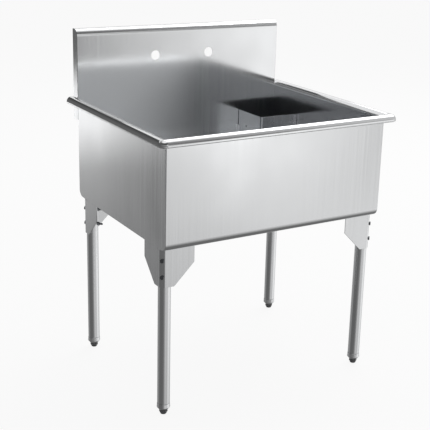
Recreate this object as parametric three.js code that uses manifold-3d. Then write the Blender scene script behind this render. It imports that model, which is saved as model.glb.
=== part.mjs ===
// A free-standing utility laundry sink: one deep stainless bowl with a rolled rim and a
// backsplash, on four round legs with screw feet. Millimetres, +Z up. The origin is on the
// floor under the middle of the sink, +X to the user's right and +Y towards the wall.
import * as THREE from 'three';
import { mergeVertices } from 'three/addons/utils/BufferGeometryUtils.js';
import Module from 'manifold-3d';

const wasm = await Module();
wasm.setup();

// ---- driving dimensions ----
const SHEET = 1.5; // bowl, rim, splash and guard sheet
const GAP = 0.3; // clearance kept between pieces that touch

const BOWL_WIDTH = 762;
const BOWL_DEPTH = 619;
const FLOOR_UNDERSIDE = 531;
const BOWL_BEND = 24; // outer radius of the front and back bottom bends

const RIM_TOP = 864;
const ROLL_RADIUS = 16.75; // outside of the half-round roll
const ROLL_CURL = 8; // degrees that the roll's free edge turns back under itself
const RIM_CORNER = { inside: 4, outside: 23 }; // plan radii of the rim's front corners
const RIM_END_Y = 325; // the side rolls stop alongside the splash

const SPLASH_TOP = 1080;
const SPLASH_BACK = 341.5;
const SPLASH_NOSE = 22; // radius of the splash's rolled top front edge
const SPLASH_LOW = 787; // lower end of its side returns
const SPLASH_TURNDOWN = 25;
const TAP_HOLE_RADIUS = 16;
const TAP_HOLE_SPACING = 203.2;
const TAP_HOLE_Z = 982.5;

const LEG_RADIUS = 19.05;
const LEG_WALL = 1.5;
const LEG_TOP = 529;
const LEG_BOTTOM = 37.3;

const GUSSET_SHEET = 2.5;
const GUSSET_BEND = 8; // outside radius of its two soft bends
const GUSSET_LOW = 415;
const GUSSET_SHOULDER = 480; // where the wings start to taper
const GUSSET_SIDE_LENGTH = 108; // wing along the end panel, from the virtual corner
const GUSSET_CROSS_LENGTH = 108; // wing under the front or back of the bowl
const GUSSET_CHAMFER = 12.5; // the flat across the corner, measured along each wing
const FRONT_WING_Y = -286;
const BACK_WING_Y = 277.5;

const BOLT_HEIGHTS = [446.5, 497];
const BOLT_RADIUS = 3.15;
const BOLT_HOLE_RADIUS = 3.7;
const HEX_ACROSS_FLATS = 11.1;
const BOLT_HEAD = 4.2;
const NUT_HEIGHT = 5.6;
const BOLT_TAIL = 11; // thread showing past the nut

const SOCKET_LOW = 14.5;
const SOCKET_TOP = 66;
const STEM_RADIUS = 5;
const FOOT_ACROSS_FLATS = 22;
const FOOT_BASE_RADIUS = 9;

const GUARD_REACH = 150; // each panel of the corner guard, measured from the wall
const GUARD_LOW = 534;
const GUARD_TOP = 770;
const GUARD_BEND = 8;
const CHANNEL_LOW = 560;
const CHANNEL_TOP = { back: 715, side: 768 };
const CHANNEL_SHEET = 1.2;
const CHANNEL_LEG = 11;
const CHANNEL_PLAY = 0.5;

const DRAIN_SETBACK = 89; // drain axis from the right wall and from the back wall
const DRAIN_HOLE_RADIUS = 44.5;
const TAIL_RADIUS = 19.05;
const TAIL_LOW = 375;

// ---- places worked out from them ----
const HALF_WIDTH = BOWL_WIDTH / 2;
const HALF_DEPTH = BOWL_DEPTH / 2;
const INNER_X = HALF_WIDTH - SHEET;
const INNER_Y = HALF_DEPTH - SHEET;
const FLOOR_TOP = FLOOR_UNDERSIDE + SHEET;
const ROLL_Z = RIM_TOP - ROLL_RADIUS; // height of the roll's centre, where the walls end
const WALL_TOP = ROLL_Z - GAP;
const LEG_OFFSET = GUSSET_SHEET + GAP + LEG_RADIUS; // leg axis behind a wing's outer face
const GUARD_X = HALF_WIDTH - GUARD_REACH;
const GUARD_Y = HALF_DEPTH - GUARD_REACH;
const DRAIN_X = HALF_WIDTH - DRAIN_SETBACK;
const DRAIN_Y = HALF_DEPTH - DRAIN_SETBACK;

// ---- materials ----
const finish = (color, roughness, metalness) =>
  new THREE.MeshStandardMaterial({ color, roughness, metalness });
const brushedSteel = () => finish('#c3c5c6', 0.32, 1);
const legSteel = () => finish('#b4b6b8', 0.28, 1);
const platedSteel = () => finish('#8f9193', 0.4, 1);
const chromePlate = () => finish('#d4d6d8', 0.12, 1);
const footPlastic = () => finish('#4a4b4d', 0.55, 0);
const blackRubber = () => finish('#222324', 0.8, 0);

// ---- solids ----
const X_AXIS = new THREE.Vector3(1, 0, 0);
const Y_AXIS = new THREE.Vector3(0, 1, 0);
const Z_AXIS = new THREE.Vector3(0, 0, 1);

function toSolid(geometry) {
  const bare = geometry.clone();
  bare.deleteAttribute('normal');
  bare.deleteAttribute('uv');
  const welded = mergeVertices(bare, 1e-4);
  return new wasm.Manifold(new wasm.Mesh({
    numProp: 3,
    vertProperties: new Float32Array(welded.attributes.position.array),
    triVerts: new Uint32Array(welded.index.array),
  }));
}

function toGeometry(solid) {
  const mesh = solid.getMesh();
  const geometry = new THREE.BufferGeometry();
  geometry.setAttribute('position', new THREE.BufferAttribute(mesh.vertProperties, 3));
  geometry.setIndex(new THREE.BufferAttribute(mesh.triVerts, 1));
  geometry.computeVertexNormals();
  return geometry;
}

function cut(geometry, ...tools) {
  let solid = toSolid(geometry);
  for (const tool of tools) {
    solid = solid.subtract(toSolid(tool));
  }
  return toGeometry(solid);
}

function join(first, ...others) {
  let solid = toSolid(first);
  for (const other of others) {
    solid = solid.add(toSolid(other));
  }
  return toGeometry(solid);
}

function box(low, high) {
  const size = high.map((value, axis) => value - low[axis]);
  const centre = high.map((value, axis) => (value + low[axis]) / 2);
  return new THREE.BoxGeometry(...size).translate(...centre);
}

// A cylinder from one point to another; four or six sides give a bar or a hexagon.
function rod(from, to, radius, sides = 16) {
  const start = new THREE.Vector3(...from);
  const end = new THREE.Vector3(...to);
  const along = end.clone().sub(start);
  const geometry = new THREE.CylinderGeometry(radius, radius, along.length(), sides);
  const turn = new THREE.Quaternion().setFromUnitVectors(Y_AXIS, along.clone().normalize());
  const middle = start.add(end).multiplyScalar(0.5);
  return geometry.applyQuaternion(turn).translate(middle.x, middle.y, middle.z);
}

// A turned piece standing on the Z axis, from its [radius, height] profile.
function turned(profile, sides = 32) {
  const points = profile.map(([radius, height]) => new THREE.Vector2(radius, height));
  return new THREE.LatheGeometry(points, sides).rotateX(Math.PI / 2);
}

// A turned piece whose profile does not meet the axis.
const turnedRing = (profile, sides) => turned([...profile, profile[0]], sides);

const upright = (shape, low, high) =>
  new THREE.ExtrudeGeometry(shape, { depth: high - low, bevelEnabled: false })
    .translate(0, 0, low);

// A [y, z] outline given its thickness along X.
function across(shape, from, to) {
  const turn = new THREE.Matrix4().makeBasis(Y_AXIS, Z_AXIS, X_AXIS);
  return upright(shape, from, to).applyMatrix4(turn);
}

// A folded sheet: one face follows the given corners, rounded with the given radius, and
// the sheet lies to the left of the way along them, or to the right if it is negative.
function foldedSheet(corners, radius, thickness, steps = 6) {
  const face = [];
  const back = [];
  const points = corners.map(([x, y]) => new THREE.Vector2(x, y));
  const heading = (i) => points[i + 1].clone().sub(points[i]).normalize();
  const leftOf = (way) => new THREE.Vector2(-way.y, way.x);
  const lay = (point, left) => {
    face.push(point);
    back.push(point.clone().addScaledVector(left, thickness));
  };
  const last = points.length - 1;
  lay(points[0], leftOf(heading(0)));
  for (let i = 1; i < last; i += 1) {
    const before = heading(i - 1);
    const turn = Math.atan2(before.cross(heading(i)), before.dot(heading(i)));
    const side = Math.sign(turn);
    const start = points[i].clone().addScaledVector(before, -radius * Math.tan(Math.abs(turn) / 2));
    const centre = start.clone().addScaledVector(leftOf(before), side * radius);
    for (let step = 0; step <= steps; step += 1) {
      const left = leftOf(before).rotateAround(new THREE.Vector2(), (turn * step) / steps);
      lay(centre.clone().addScaledVector(left, -side * radius), left);
    }
  }
  lay(points[last], leftOf(heading(last - 1)));
  return new THREE.Shape([...face, ...back.reverse()]);
}

// A closed section of [outward, up] points carried round a plan path, with capped ends.
// Each station of the path turns a distance outward into a place in plan.
function sweptSection(section, stations) {
  const ring = section.length;
  const positions = stations.flatMap((place) =>
    section.flatMap(([outward, up]) => [...place(outward), up]));
  const index = [];
  for (let s = 0; s + 1 < stations.length; s += 1) {
    for (let i = 0; i < ring; i += 1) {
      const a = s * ring + i;
      const b = s * ring + ((i + 1) % ring);
      index.push(a, b, a + ring, b, b + ring, a + ring);
    }
  }
  const cap = THREE.ShapeUtils.triangulateShape(section.map(([u, v]) => new THREE.Vector2(u, v)), []);
  const end = (stations.length - 1) * ring;
  for (const [a, b, c] of cap) {
    index.push(a, b, c, end + a, end + c, end + b);
  }
  const geometry = new THREE.BufferGeometry();
  geometry.setAttribute('position', new THREE.Float32BufferAttribute(positions, 3));
  geometry.setIndex(index);
  return geometry;
}

// ---- the tub ----
function tubWrap() {
  const profile = foldedSheet([
    [-HALF_DEPTH, WALL_TOP],
    [-HALF_DEPTH, FLOOR_UNDERSIDE],
    [HALF_DEPTH, FLOOR_UNDERSIDE],
    [HALF_DEPTH, WALL_TOP],
  ], BOWL_BEND, SHEET, 8);
  const end = INNER_X - GAP;
  const drainHole = rod([DRAIN_X, DRAIN_Y, FLOOR_UNDERSIDE - 5], [DRAIN_X, DRAIN_Y, FLOOR_TOP + 5],
    DRAIN_HOLE_RADIUS, 32);
  return cut(across(profile, -end, end), drainHole);
}

function endPanel(side) {
  const outline = new THREE.Shape();
  outline.moveTo(-HALF_DEPTH, WALL_TOP);
  outline.lineTo(-HALF_DEPTH, FLOOR_UNDERSIDE + BOWL_BEND);
  outline.absarc(-HALF_DEPTH + BOWL_BEND, FLOOR_UNDERSIDE + BOWL_BEND, BOWL_BEND,
    Math.PI, Math.PI * 1.5);
  outline.absarc(HALF_DEPTH - BOWL_BEND, FLOOR_UNDERSIDE + BOWL_BEND, BOWL_BEND,
    Math.PI * 1.5, Math.PI * 2);
  outline.lineTo(HALF_DEPTH, WALL_TOP);
  const [from, to] = side < 0 ? [-HALF_WIDTH, -INNER_X] : [INNER_X, HALF_WIDTH];
  return across(outline, from, to);
}

// The roll's section: up out of the wall, over half a circle and a little way back under.
function rollSection(steps = 11) {
  const arc = (radius, t) => {
    const angle = Math.PI - (Math.PI + THREE.MathUtils.degToRad(ROLL_CURL)) * t;
    return [ROLL_RADIUS + radius * Math.cos(angle), ROLL_Z + radius * Math.sin(angle)];
  };
  const fractions = Array.from({ length: steps + 1 }, (_, i) => i / steps);
  const outside = fractions.map((t) => arc(ROLL_RADIUS, t));
  const inside = fractions.map((t) => arc(ROLL_RADIUS - SHEET, t)).reverse();
  return [...inside, ...outside];
}

// A front corner is nearly sharp at the bowl and rounder from the crest outwards.
function cornerStation(side, angle) {
  return (outward) => {
    const swell = Math.sin((Math.PI / 2) * Math.min(1, outward / ROLL_RADIUS));
    const radius = THREE.MathUtils.lerp(RIM_CORNER.inside, RIM_CORNER.outside, swell);
    return [
      side * (INNER_X + outward - radius) + radius * Math.cos(angle),
      -(INNER_Y + outward - radius) + radius * Math.sin(angle),
    ];
  };
}

// Down the left side, round the front and back up the right side.
function rimStations(steps = 8) {
  const turns = Array.from({ length: steps + 1 }, (_, i) => (Math.PI / 2) * (i / steps));
  return [
    (outward) => [-INNER_X - outward, RIM_END_Y],
    ...turns.map((turn) => cornerStation(-1, Math.PI + turn)),
    ...turns.map((turn) => cornerStation(1, Math.PI * 1.5 + turn)),
    (outward) => [INNER_X + outward, RIM_END_Y],
  ];
}

function rolledRim() {
  const splashSpace = box(
    [-HALF_WIDTH - GAP, INNER_Y - GAP, ROLL_Z - 50],
    [HALF_WIDTH + GAP, RIM_END_Y + 50, RIM_TOP + 50],
  );
  return cut(sweptSection(rollSection(), rimStations()), splashSpace);
}

// ---- the backsplash ----
// A pan open at the back and bottom: its front carries on up from the bowl's back wall,
// rolls over into the top and turns down behind, and its two sides run on down past the rim.
function backsplash() {
  const noseZ = SPLASH_TOP - SPLASH_NOSE;
  const noseY = INNER_Y + SPLASH_NOSE;
  const beyond = 10;

  const outside = new THREE.Shape();
  outside.moveTo(INNER_Y, ROLL_Z);
  outside.lineTo(INNER_Y, noseZ);
  outside.absarc(noseY, noseZ, SPLASH_NOSE, Math.PI, Math.PI / 2, true);
  outside.lineTo(SPLASH_BACK, SPLASH_TOP);
  outside.lineTo(SPLASH_BACK, SPLASH_LOW);
  outside.lineTo(HALF_DEPTH + GAP, SPLASH_LOW);
  outside.lineTo(HALF_DEPTH + GAP, ROLL_Z);

  const inside = new THREE.Shape();
  inside.moveTo(HALF_DEPTH, SPLASH_LOW - beyond);
  inside.lineTo(HALF_DEPTH, noseZ);
  inside.absarc(noseY, noseZ, SPLASH_NOSE - SHEET, Math.PI, Math.PI / 2, true);
  inside.lineTo(SPLASH_BACK - SHEET, SPLASH_TOP - SHEET);
  inside.lineTo(SPLASH_BACK - SHEET, SPLASH_TOP - SPLASH_TURNDOWN);
  inside.lineTo(SPLASH_BACK + beyond, SPLASH_TOP - SPLASH_TURNDOWN);
  inside.lineTo(SPLASH_BACK + beyond, SPLASH_LOW - beyond);

  const tapHoles = [-1, 1].map((side) => {
    const x = (side * TAP_HOLE_SPACING) / 2;
    return rod([x, INNER_Y - 5, TAP_HOLE_Z], [x, HALF_DEPTH + 5, TAP_HOLE_Z], TAP_HOLE_RADIUS, 32);
  });
  return cut(across(outside, -HALF_WIDTH, HALF_WIDTH), across(inside, -INNER_X, INNER_X),
    ...tapHoles);
}

// ---- legs ----
// side is -1 on the left and 1 on the right; end is -1 at the front and 1 at the back.
const CORNERS = [
  { name: 'front_left', side: -1, end: -1 },
  { name: 'front_right', side: 1, end: -1 },
  { name: 'back_left', side: -1, end: 1 },
  { name: 'back_right', side: 1, end: 1 },
];
const wingY = (corner) => (corner.end < 0 ? FRONT_WING_Y : BACK_WING_Y);
const legX = (corner) => corner.side * (HALF_WIDTH - LEG_OFFSET);
const legY = (corner) => wingY(corner) - corner.end * LEG_OFFSET;

// A point out along the corner's diagonal from the leg's axis.
function diagonal(corner, reach, z) {
  const part = reach / Math.SQRT2;
  return [legX(corner) + corner.side * part, legY(corner) + corner.end * part, z];
}

// The outer face of the flat across the corner, measured from the leg's axis.
const FLAT_REACH = (2 * LEG_OFFSET - GUSSET_CHAMFER) / Math.SQRT2;

const boltHoles = (corner) => BOLT_HEIGHTS.map((z) =>
  rod(diagonal(corner, -40, z), diagonal(corner, 40, z), BOLT_HOLE_RADIUS, 12));

// The corner that a wing's taper takes off, as a [run, z] triangle past its shoulder.
function taper(wingEnd, towardsCorner) {
  const drop = GUSSET_SHOULDER - GUSSET_LOW;
  const beyond = 10;
  const shape = new THREE.Shape();
  shape.moveTo(wingEnd - towardsCorner * beyond, GUSSET_SHOULDER + beyond);
  shape.lineTo(wingEnd - towardsCorner * beyond, GUSSET_LOW - beyond);
  shape.lineTo(wingEnd + towardsCorner * (drop + beyond), GUSSET_LOW - beyond);
  return shape;
}

function gusset(corner) {
  const { side, end } = corner;
  const x = side * HALF_WIDTH;
  const y = wingY(corner);
  const sideEnd = y - end * GUSSET_SIDE_LENGTH;
  const crossEnd = x - side * GUSSET_CROSS_LENGTH;
  const plan = foldedSheet([
    [x, sideEnd],
    [x, y - end * GUSSET_CHAMFER],
    [x - side * GUSSET_CHAMFER, y],
    [crossEnd, y],
  ], GUSSET_BEND, side * end * GUSSET_SHEET, 4);
  const margin = 10;
  const sideTaper = across(taper(sideEnd, end), x - margin, x + margin);
  const standUp = new THREE.Matrix4().makeBasis(X_AXIS, Z_AXIS, Y_AXIS.clone().negate());
  const crossTaper = upright(taper(crossEnd, side), -margin, margin)
    .applyMatrix4(standUp)
    .translate(0, y, 0);
  return cut(upright(plan, GUSSET_LOW, FLOOR_UNDERSIDE - GAP), sideTaper, crossTaper,
    ...boltHoles(corner));
}

function legTube(corner) {
  const bore = LEG_RADIUS - LEG_WALL;
  const tube = turnedRing([
    [bore, LEG_BOTTOM],
    [LEG_RADIUS, LEG_BOTTOM],
    [LEG_RADIUS, LEG_TOP],
    [bore, LEG_TOP],
  ], 32).translate(legX(corner), legY(corner), 0);
  return cut(tube, ...boltHoles(corner));
}

const hexRadius = (acrossFlats) => acrossFlats / Math.sqrt(3);

function legBolt(corner, z) {
  const headSeat = FLAT_REACH + GAP;
  const tip = -(LEG_RADIUS + GAP + NUT_HEIGHT + BOLT_TAIL);
  const head = rod(diagonal(corner, headSeat, z), diagonal(corner, headSeat + BOLT_HEAD, z),
    hexRadius(HEX_ACROSS_FLATS), 6);
  const shank = rod(diagonal(corner, tip, z), diagonal(corner, headSeat + 1, z), BOLT_RADIUS, 12);
  return join(head, shank);
}

function legNut(corner, z) {
  const seat = -(LEG_RADIUS + GAP);
  const body = rod(diagonal(corner, seat, z), diagonal(corner, seat - NUT_HEIGHT, z),
    hexRadius(HEX_ACROSS_FLATS), 6);
  const bore = rod(diagonal(corner, seat + 5, z), diagonal(corner, seat - NUT_HEIGHT - 5, z),
    BOLT_HOLE_RADIUS, 12);
  return cut(body, bore);
}

// The plug in the tube's lower end, with the collar that shows below it.
function footSocket(corner) {
  const plug = LEG_RADIUS - LEG_WALL - GAP;
  const bore = STEM_RADIUS + GAP;
  return turnedRing([
    [bore, SOCKET_LOW],
    [12.6, SOCKET_LOW],
    [20, 23],
    [20.4, 25],
    [19.3, LEG_BOTTOM - GAP],
    [plug, LEG_BOTTOM - GAP],
    [plug, SOCKET_TOP],
    [bore, SOCKET_TOP],
  ], 28).translate(legX(corner), legY(corner), 0);
}

// A hexagon to turn it by, tapering to a round base, with its threaded stem above.
function screwFoot(corner) {
  const shoulder = SOCKET_LOW - GAP;
  const base = turned([
    [0, 0],
    [FOOT_BASE_RADIUS - 1, 0],
    [FOOT_BASE_RADIUS, 1],
    [11.3, 6.5],
    [11.3, shoulder],
    [STEM_RADIUS, shoulder],
    [STEM_RADIUS, 60],
    [STEM_RADIUS - 1, 61],
    [0, 61],
  ], 24);
  const hexagon = rod([0, 0, 6], [0, 0, shoulder - 1.5], hexRadius(FOOT_ACROSS_FLATS), 6);
  return join(base, hexagon).translate(legX(corner), legY(corner), 0);
}

// ---- the lift-out guard round the drain ----
// One row of drain holes through each panel, close above the bowl's floor.
function guardHoles() {
  const z = GUARD_LOW + 26;
  const tools = [];
  for (let offset = 32; offset < 125; offset += 22) {
    const [x, y] = [GUARD_X + offset, GUARD_Y + offset];
    tools.push(rod([GUARD_X - 5, y, z], [GUARD_X + 5, y, z], 5, 12));
    tools.push(rod([x, GUARD_Y - 5, z], [x, GUARD_Y + 5, z], 5, 12));
  }
  return tools;
}

// Domed rivet heads on the outer faces, where the photograph shows three round marks.
function guardRivets() {
  const dome = () => turned([[0, -1], [3.5, -1], [3.5, 0.5], [2.2, 1.5], [0, 1.8]], 12);
  const onFront = (x, z) => dome().rotateX(Math.PI / 2).translate(x, GUARD_Y, z);
  const onLeft = (y, z) => dome().rotateY(-Math.PI / 2).translate(GUARD_X, y, z);
  const topRow = GUARD_TOP - 22.5;
  return [onFront(GUARD_X + 45, topRow), onFront(HALF_WIDTH - 22, topRow), onLeft(255, 720)];
}

function cornerGuard() {
  const clear = SHEET + GAP + CHANNEL_SHEET + 1;
  const backEdge = HALF_DEPTH - clear;
  const plan = foldedSheet([
    [GUARD_X, backEdge],
    [GUARD_X, GUARD_Y],
    [HALF_WIDTH - clear, GUARD_Y],
  ], GUARD_BEND, SHEET, 8);
  const sheet = upright(plan, GUARD_LOW, GUARD_TOP);
  // The lower back corner is cut off to clear the bowl's bottom bend.
  const margin = 10;
  const notch = new THREE.Shape();
  notch.moveTo(backEdge - BOWL_BEND - margin, GUARD_LOW - margin);
  notch.lineTo(backEdge + margin, GUARD_LOW - margin);
  notch.lineTo(backEdge + margin, GUARD_LOW + BOWL_BEND + margin);
  return cut(join(sheet, ...guardRivets()), ...guardHoles(),
    across(notch, GUARD_X - margin, GUARD_X + margin));
}

// A channel seen in plan: its web lies on the wall and its legs hold the guard's edge.
function guardChannel(wall) {
  const outer = CHANNEL_SHEET + CHANNEL_PLAY;
  const low = -outer;
  const high = SHEET + outer;
  const corners = [[low, CHANNEL_LEG], [low, 0], [high, 0], [high, CHANNEL_LEG]];
  const place = wall === 'back'
    ? ([along, off]) => [GUARD_X + along, INNER_Y - GAP - off]
    : ([along, off]) => [INNER_X - GAP - off, GUARD_Y + along];
  const thickness = wall === 'back' ? -CHANNEL_SHEET : CHANNEL_SHEET;
  const plan = foldedSheet(corners.map(place), CHANNEL_SHEET + 0.4, thickness, 3);
  return upright(plan, CHANNEL_LOW, CHANNEL_TOP[wall]);
}

// ---- the drain ----
const atDrain = (geometry) => geometry.translate(DRAIN_X, DRAIN_Y, 0);

function drainBody() {
  return atDrain(turnedRing([
    [57, 532.8], [56, 534.4], [43.4, 534], [40.9, 530.2], [37.6, 528.9], [36.2, 526],
    [35.6, 503], [20, 497], [20, 470], [24, 470], [24, 493.5], [40, 499.5],
    [43.4, 504], [43.4, 532.8],
  ], 28));
}

function drainGasket() {
  return atDrain(turnedRing([[44.2, 527.7], [53, 527.7], [53, 530.7], [44.2, 530.7]], 28));
}

// The ring nut that pulls the drain body down on its gasket, with lugs for a spanner.
function drainLocknut() {
  const ring = turnedRing([[43.8, 519], [50, 519], [50, 527.4], [43.8, 527.4]], 28);
  const lugs = Array.from({ length: 6 }, (_, i) =>
    box([48, -5, 519], [54, 5, 527.4]).rotateZ((i * Math.PI) / 3));
  return atDrain(join(ring, ...lugs));
}

function drainTailpiece() {
  return atDrain(turnedRing([
    [TAIL_RADIUS - 1.3, TAIL_LOW],
    [TAIL_RADIUS, TAIL_LOW],
    [TAIL_RADIUS, 466],
    [23, 466.5],
    [23, 469.7],
    [TAIL_RADIUS - 1.3, 469.7],
  ], 24));
}

function couplingNut() {
  const sleeve = turnedRing([
    [19.5, 459], [28, 459], [28, 484], [24.4, 484], [24.4, 465.6], [19.5, 465.6],
  ], 24);
  const ribs = Array.from({ length: 8 }, (_, i) =>
    box([26.5, -2.5, 460], [31, 2.5, 483]).rotateZ((i * Math.PI) / 4));
  return atDrain(join(sleeve, ...ribs));
}

function strainerBasket() {
  const cup = turned([
    [0, 505], [33, 505], [35.5, 528.5], [40.2, 530.6], [40.2, 531.8], [34.6, 530],
    [31.9, 506.2], [4, 506.2], [4, 524], [9, 527], [9, 531], [6, 533], [0, 533.4],
  ], 28);
  const tools = [];
  for (let i = 0; i < 10; i += 1) {
    const angle = (i * Math.PI) / 5;
    const [cos, sin] = [Math.cos(angle), Math.sin(angle)];
    tools.push(rod([cos * 28, sin * 28, 517], [cos * 42, sin * 42, 517], 3.2, 6));
    tools.push(rod([cos * 21, sin * 21, 500], [cos * 21, sin * 21, 510], 3.2, 6));
  }
  return atDrain(cut(cup, ...tools));
}

// ---- the assembly ----
const sink = new THREE.Group();

function add(name, geometry, material) {
  const mesh = new THREE.Mesh(geometry, material);
  mesh.name = name;
  sink.add(mesh);
}

add('tub_wrap', tubWrap(), brushedSteel());
add('left_end_panel', endPanel(-1), brushedSteel());
add('right_end_panel', endPanel(1), brushedSteel());
add('rolled_rim', rolledRim(), brushedSteel());
add('backsplash', backsplash(), brushedSteel());

for (const corner of CORNERS) {
  add(`gusset_${corner.name}`, gusset(corner), brushedSteel());
  add(`leg_${corner.name}`, legTube(corner), legSteel());
  add(`socket_${corner.name}`, footSocket(corner), platedSteel());
  add(`foot_${corner.name}`, screwFoot(corner), footPlastic());
  BOLT_HEIGHTS.forEach((z, i) => {
    const level = i === 0 ? 'lower' : 'upper';
    add(`bolt_${corner.name}_${level}`, legBolt(corner, z), platedSteel());
    add(`nut_${corner.name}_${level}`, legNut(corner, z), platedSteel());
  });
}

add('corner_guard', cornerGuard(), brushedSteel());
add('guard_channel_back', guardChannel('back'), brushedSteel());
add('guard_channel_side', guardChannel('side'), brushedSteel());

add('drain_body', drainBody(), chromePlate());
add('drain_gasket', drainGasket(), blackRubber());
add('drain_locknut', drainLocknut(), platedSteel());
add('coupling_nut', couplingNut(), platedSteel());
add('drain_tailpiece', drainTailpiece(), chromePlate());
add('strainer_basket', strainerBasket(), chromePlate());

export default sink;
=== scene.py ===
import math

import bmesh
import bpy
from mathutils import Matrix, Vector


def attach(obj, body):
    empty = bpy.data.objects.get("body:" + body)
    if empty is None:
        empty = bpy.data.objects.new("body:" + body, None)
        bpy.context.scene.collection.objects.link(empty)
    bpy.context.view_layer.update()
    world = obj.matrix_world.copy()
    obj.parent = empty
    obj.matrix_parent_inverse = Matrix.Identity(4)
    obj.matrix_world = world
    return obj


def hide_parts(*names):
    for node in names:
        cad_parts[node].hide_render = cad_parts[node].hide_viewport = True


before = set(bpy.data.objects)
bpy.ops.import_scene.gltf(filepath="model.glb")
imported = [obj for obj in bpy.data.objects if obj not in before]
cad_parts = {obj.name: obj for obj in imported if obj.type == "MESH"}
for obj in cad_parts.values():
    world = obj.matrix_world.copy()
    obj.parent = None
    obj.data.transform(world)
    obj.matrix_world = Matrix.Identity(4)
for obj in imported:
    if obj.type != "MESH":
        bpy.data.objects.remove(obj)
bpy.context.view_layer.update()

# ---- sizes in millimetres, as in the solids ----
SHEET = 1.5
GAP = 0.3  # left between pieces that meet
HALF_WIDTH = 381.0
HALF_DEPTH = 309.5
INNER_X = HALF_WIDTH - SHEET
INNER_Y = HALF_DEPTH - SHEET
FLOOR_UNDERSIDE = 531.0
BOWL_BEND = 24.0
BOWL_CORNER = 3.0  # the ground weld down each upright corner

RIM_TOP = 864.0
ROLL_RADIUS = 16.75
ROLL_Z = RIM_TOP - ROLL_RADIUS
# Past half a circle the roll's free edge turns on by these steps, each down and in. The solid has
# only the first.
ROLL_LIP = ((2.3, 0.0), (1.0, 0.35), (0.8, 0.9))
RIM_CORNER = 23.0
RIM_INNER_CORNER = 4.0
RIM_OUT_X = INNER_X + 2 * ROLL_RADIUS
RIM_OUT_Y = INNER_Y + 2 * ROLL_RADIUS
RIM_END_Y = 325.0

SPLASH_TOP = 1080.0
SPLASH_BACK = 341.5
SPLASH_NOSE = 22.0
SPLASH_BACK_BEND = 2.5
SPLASH_SIDE_BEND = 1.6
SPLASH_LOW = 787.0
SPLASH_TURNDOWN = 25.0
TAP_HOLE_X = 101.6
TAP_HOLE_Z = 982.5
TAP_HOLE_RADIUS = 16.0

GUSSET_SHEET = 2.5
GUSSET_LOW = 415.0
GUSSET_SHOULDER = 480.0
GUSSET_WING = 108.0
GUSSET_CHAMFER = 12.5
GUSSET_BEND = 8.0
WING_Y = {"front": -286.0, "back": 277.5}

LEG_RADIUS = 19.05
LEG_TOP = 529.0
LEG_BOTTOM = 37.3
LEG_INSET = GUSSET_SHEET + GAP + LEG_RADIUS
LEG_X = HALF_WIDTH - LEG_INSET
LEG_Y = {"front": WING_Y["front"] + LEG_INSET, "back": WING_Y["back"] - LEG_INSET}
# From the leg's middle to the outside of the gusset's flat.
FLAT_REACH = (2 * LEG_INSET - GUSSET_CHAMFER) / math.sqrt(2)

BOLT_HEIGHTS = {"lower": 446.5, "upper": 497.0}
BOLT_RADIUS = 3.15
BOLT_HEAD = 4.2
BOLT_TAIL = 11.0  # past the nut
THREAD_PITCH = 1.27
THREAD_CREST = 0.25  # along the bolt
THREAD_FALL = 0.76  # from where a crest begins to the root past it
THREAD_TURNS = 14
THREAD_LENGTH = 18.6
THREAD_ROOT = 2.6
HEX_ACROSS_FLATS = 11.1
HEX_CHAMFER = 0.5
NUT_HEIGHT = 5.6
NUT_FACE = 1.9

GUARD_REACH = 150.0
GUARD_X = HALF_WIDTH - GUARD_REACH
GUARD_Y = HALF_DEPTH - GUARD_REACH
GUARD_LOW = 534.0
GUARD_TOP = 770.0
GUARD_BEND = 8.0
GUARD_PLAY = 1.0  # between the guard's edge and the web of its channel
GUARD_HOLE_RADIUS = 5.0
GUARD_HOLE_RISE = 26.0
GUARD_HOLE_OFFSETS = (32, 54, 76, 98, 120)  # along each panel from the guard's corner
RIVET_HEIGHT = GUARD_TOP - 22.5
RIVETS_FRONT = (GUARD_X + 45.0, HALF_WIDTH - 22.0)  # along X, on the guard's front panel
RIVET_SIDE = (255.0, 720.0)  # along Y and Z, on its side panel
CHANNEL_SHEET = 1.2
CHANNEL_ROOM = 1.7  # from the guard's face to the outer face of the channel's lip
CHANNEL_LIP = 11.0
CHANNEL_BEND = 1.6
CHANNEL_LOW = 560.0
CHANNEL_TOP = {"back": 715.0, "side": 768.0}

DRAIN_SETBACK = 89.0
DRAIN_X = HALF_WIDTH - DRAIN_SETBACK
DRAIN_Y = HALF_DEPTH - DRAIN_SETBACK
DRAIN_HOLE_RADIUS = 44.5

X_AXIS = Vector((1, 0, 0))
Y_AXIS = Vector((0, 1, 0))
Z_AXIS = Vector((0, 0, 1))
FAR = 4000.0  # well outside every piece
NEAR = 1e-3  # places no farther apart than this are one
MERGE = 1e-4  # the same for the mesh operators


# ---- materials ----
def tone(code):
    """An sRGB hex colour as the linear colour that the shaders take."""
    parts = [int(code[i:i + 2], 16) / 255 for i in (1, 3, 5)]
    return tuple(v / 12.92 if v <= 0.04045 else ((v + 0.055) / 1.055) ** 2.4 for v in parts) + (1.0,)


def add_node(tree, kind, settings=None, **links):
    """A node with its settings. Each link names a socket, with _ for a space, or numbers it, as in
    _0, and gives it a value or another node's output."""
    node = tree.nodes.new(kind)
    for name, value in (settings or {}).items():
        setattr(node, name, value)
    for name, value in links.items():
        key = int(name[1:]) if name[1:].isdigit() else name.replace("_", " ")
        socket = node.inputs[key]
        if isinstance(value, bpy.types.NodeSocket):
            tree.links.new(value, socket)
        else:
            socket.default_value = value
    return node


def new_material(name):
    material = bpy.data.materials.new(name)
    material.use_nodes = True
    tree = material.node_tree
    tree.nodes.clear()
    return material, tree


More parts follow.
